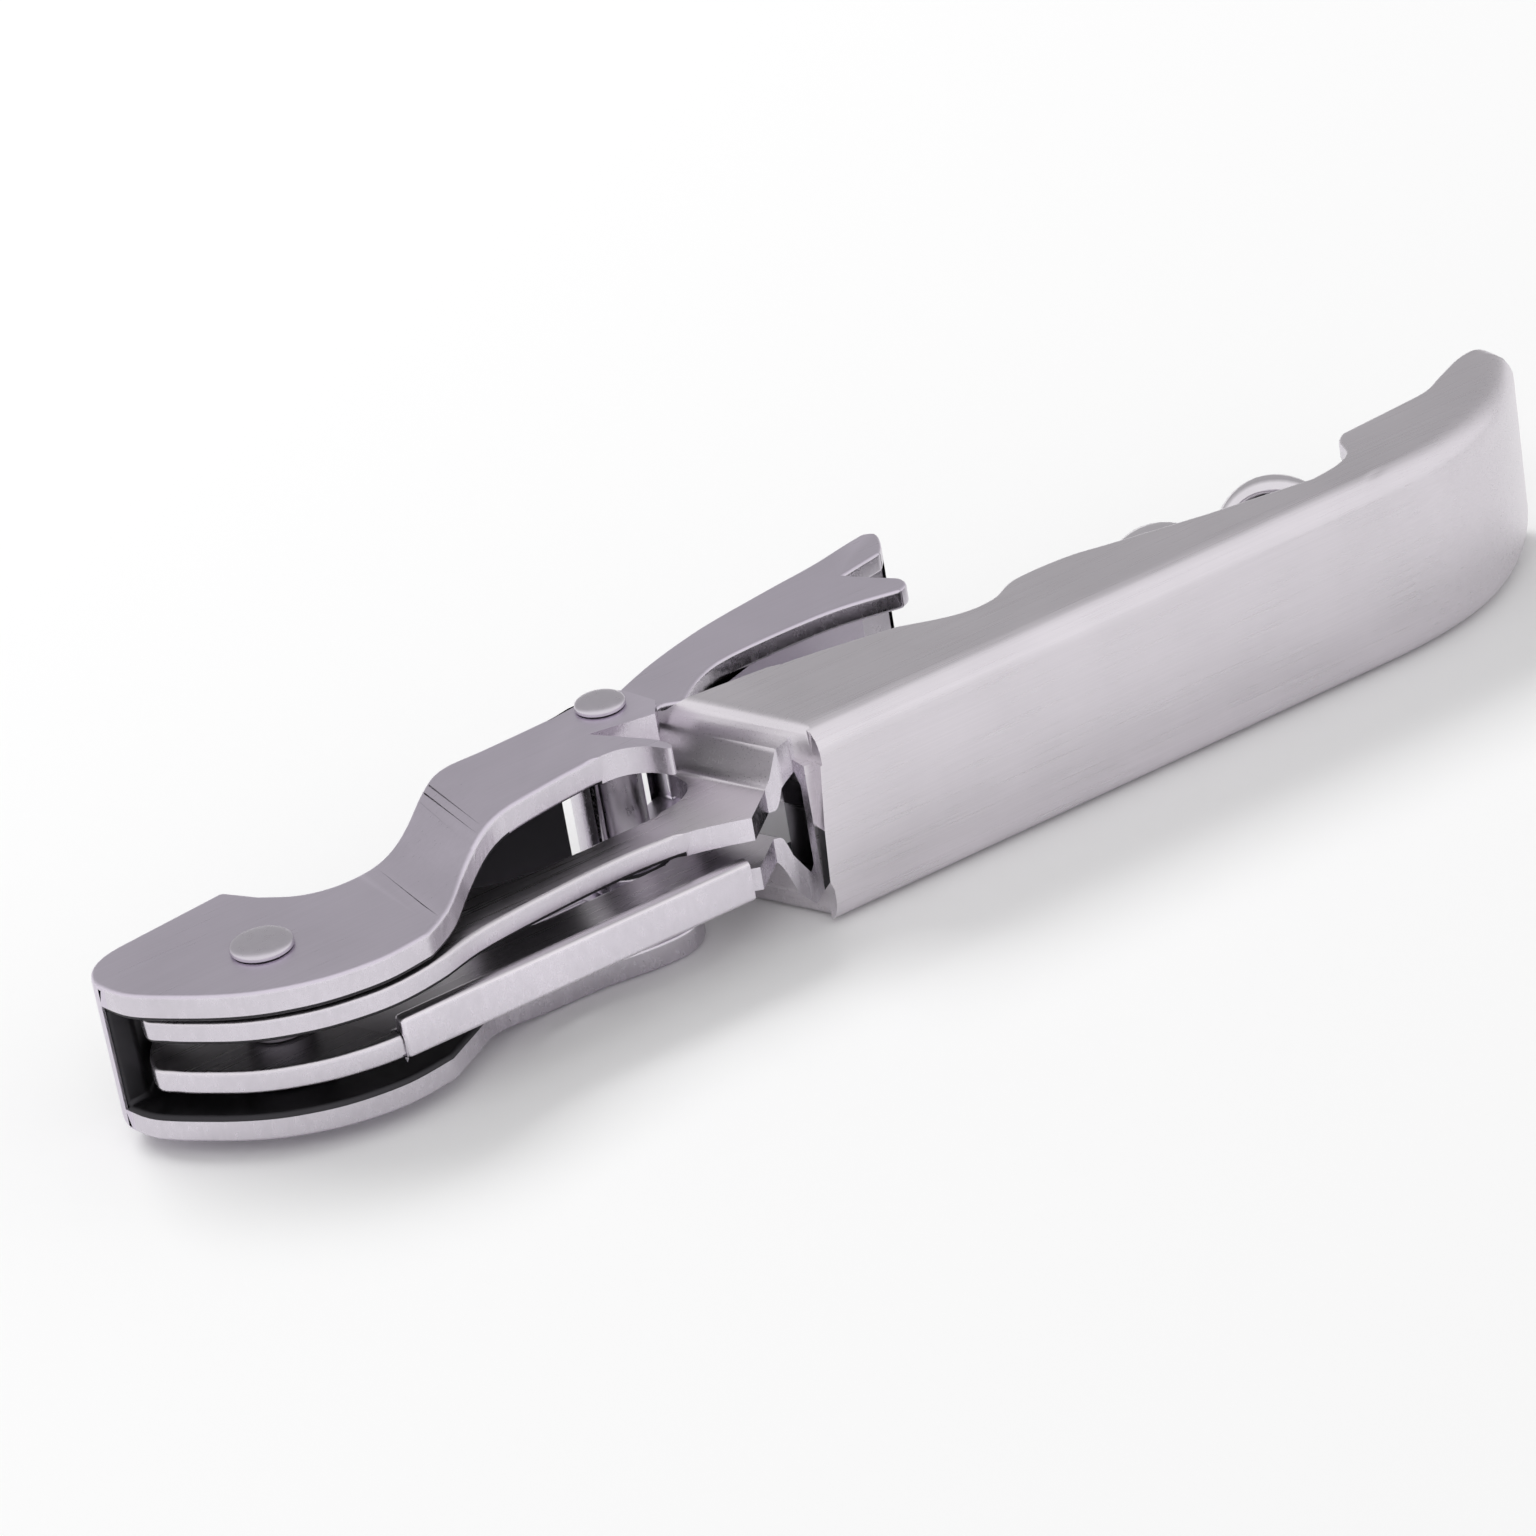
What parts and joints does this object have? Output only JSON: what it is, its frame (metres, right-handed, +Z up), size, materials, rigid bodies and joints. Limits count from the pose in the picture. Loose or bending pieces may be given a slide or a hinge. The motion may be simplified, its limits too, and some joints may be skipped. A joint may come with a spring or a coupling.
{
  "type": "double-hinged lever corkscrew",
  "caption": "Folding stainless steel waiter's corkscrew with a channel handle, two-step lever, worm, foil knife and cap opener, folded shut and lying on its side.",
  "frame": {"origin": "middle of the space that the closed corkscrew takes up, on the surface it lies on", "axes": "+X along the handle towards its tail, +Y from the handle's closed back to its open side, +Z up across the handle's width, along every pivot"},
  "size_m": [0.121, 0.0264, 0.017],
  "materials": {
    "shell_steel": "satin brushed along the handle",
    "lever_steel": "satin brushed along the lever",
    "rivet_steel": "turned and polished",
    "washer_steel": "plain, dull",
    "worm_steel": "bright polished",
    "blade_steel": "fine ground"
  },
  "bodies": {
    "handle": {"handle_shell": "shell_steel", "lever_rivet_collar": "rivet_steel", "worm_pin": "rivet_steel", "worm_spacer_lower": "washer_steel", "worm_spacer_upper": "washer_steel", "knife_pin": "rivet_steel", "knife_washer": "washer_steel", "knife_spacer": "washer_steel"},
    "lever": {"lever_arm": "lever_steel", "lever_rivet": "rivet_steel", "lever_washer_upper": "washer_steel", "lever_washer_lower": "washer_steel", "foot_rivet": "rivet_steel", "foot_washer_upper": "washer_steel", "foot_washer_lower": "washer_steel"},
    "foot": {"lever_foot": "lever_steel", "foot_rivet_collar": "rivet_steel"},
    "worm": {"worm": "worm_steel"},
    "knife": {"knife_blade": "blade_steel"}
  },
  "joints": [
    {"name": "lever_hinge", "type": "hinge", "parent": "handle", "child": "lever", "pos_m": [-0.0499, -0.00525, 0.00735], "axis": [0, 0, 1], "range_deg": [0, 150]},
    {"name": "foot_hinge", "type": "hinge", "parent": "lever", "child": "foot", "pos_m": [-0.018, 0.00115, 0.0081], "axis": [0, 0, 1], "range_deg": [0, 100]},
    {"name": "worm_hinge", "type": "hinge", "parent": "handle", "child": "worm", "pos_m": [-0.0057, -0.00555, 0.0092], "axis": [0, 0, 1], "range_deg": [0, 90]},
    {"name": "knife_hinge", "type": "hinge", "parent": "handle", "child": "knife", "pos_m": [0.0483, -0.00715, 0.0028], "axis": [0, 0, 1], "range_deg": [-135, 0]}
  ],
  "couplings": [
    {"joint": "worm_hinge", "follows": "lever_hinge", "ratio": 0.6}
  ]
}
